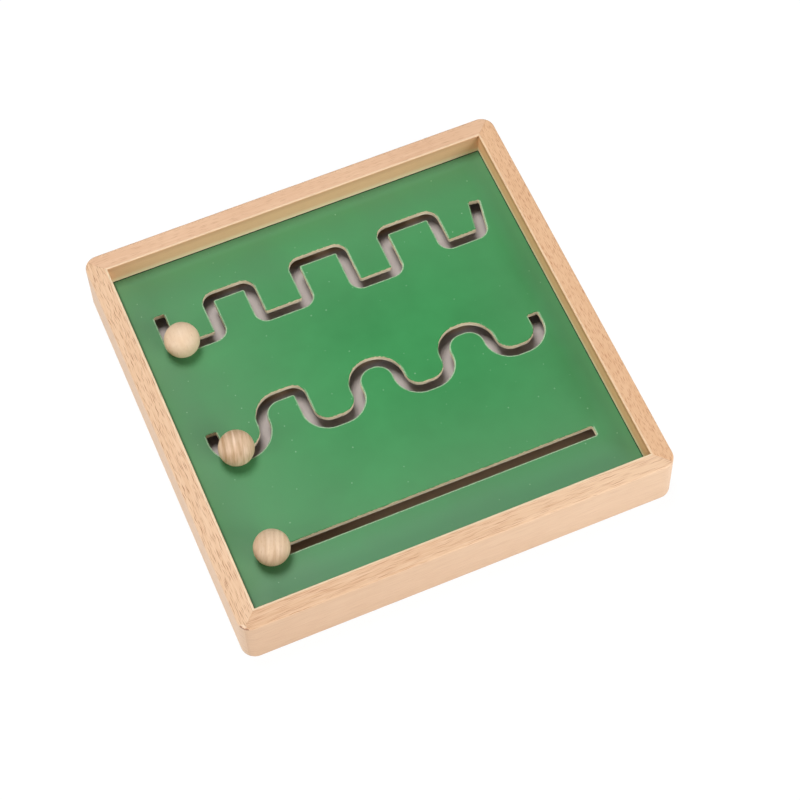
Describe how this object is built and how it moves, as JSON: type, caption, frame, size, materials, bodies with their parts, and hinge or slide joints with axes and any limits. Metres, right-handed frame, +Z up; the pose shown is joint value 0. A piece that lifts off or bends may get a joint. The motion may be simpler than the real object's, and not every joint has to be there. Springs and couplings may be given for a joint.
{
  "type": "tracing board",
  "caption": "Square wooden tracing board: a mitred frame round a slotted panel, with ball knobs that slide along a square, a wavy and a straight track.",
  "frame": {"origin": "middle of the frame's underside, on the surface that the board lies on", "axes": "+Z up out of the panel's face, +X along the tracks from the knobs' end, +Y from the straight track towards the square one"},
  "size_m": [0.22, 0.22, 0.0335],
  "materials": {
    "beech_rail": "satin clear varnish",
    "dowel_beech": "raw turned dowel",
    "green_panel": "satin green paint on fibreboard, raw cut edges",
    "base_fibreboard": "plain fibreboard",
    "pin_steel": "plain steel",
    "ball_wood": "fine sanded, clear wax",
    "peg_wood": "raw turned dowel",
    "washer_plywood": "plain plywood",
    "screw_steel": "zinc plated"
  },
  "bodies": {
    "board": {"front_rail": "beech_rail", "right_rail": "beech_rail", "back_rail": "beech_rail", "left_rail": "beech_rail", "corner_dowels": "dowel_beech", "track_panel": "green_panel", "base_board": "base_fibreboard", "base_board_pins": "pin_steel"},
    "square_slider": {"square_track_washer": "washer_plywood"},
    "square_knob": {"square_track_ball": "ball_wood", "square_track_peg": "peg_wood", "square_track_screw": "screw_steel"},
    "round_slider": {"round_track_washer": "washer_plywood"},
    "round_knob": {"round_track_ball": "ball_wood", "round_track_peg": "peg_wood", "round_track_screw": "screw_steel"},
    "straight_slider": {"straight_track_washer": "washer_plywood"},
    "straight_knob": {"straight_track_ball": "ball_wood", "straight_track_peg": "peg_wood", "straight_track_screw": "screw_steel"}
  },
  "joints": [
    {"name": "square_track_travel", "type": "slide", "parent": "board", "child": "square_slider", "axis": [1, 0, 0], "range_m": [-0.0018, 0.0174]},
    {"name": "round_track_travel", "type": "hinge", "parent": "board", "child": "round_slider", "pos_m": [-0.07181, -0.00461, 0.014], "axis": [0, 0, 1], "range_deg": [-65, 113]},
    {"name": "straight_track_travel", "type": "slide", "parent": "board", "child": "straight_slider", "axis": [1, 0, 0], "range_m": [-0.0015, 0.1631]},
    {"name": "square_knob_spin", "type": "hinge", "parent": "square_slider", "child": "square_knob", "pos_m": [-0.0798, 0.0503, 0.012], "axis": [0, 0, 1], "continuous": true},
    {"name": "round_knob_spin", "type": "hinge", "parent": "round_slider", "child": "round_knob", "pos_m": [-0.07701, -0.01629, 0.012], "axis": [0, 0, 1], "continuous": true},
    {"name": "straight_knob_spin", "type": "hinge", "parent": "straight_slider", "child": "straight_knob", "pos_m": [-0.0808, -0.072, 0.012], "axis": [0, 0, 1], "continuous": true}
  ]
}
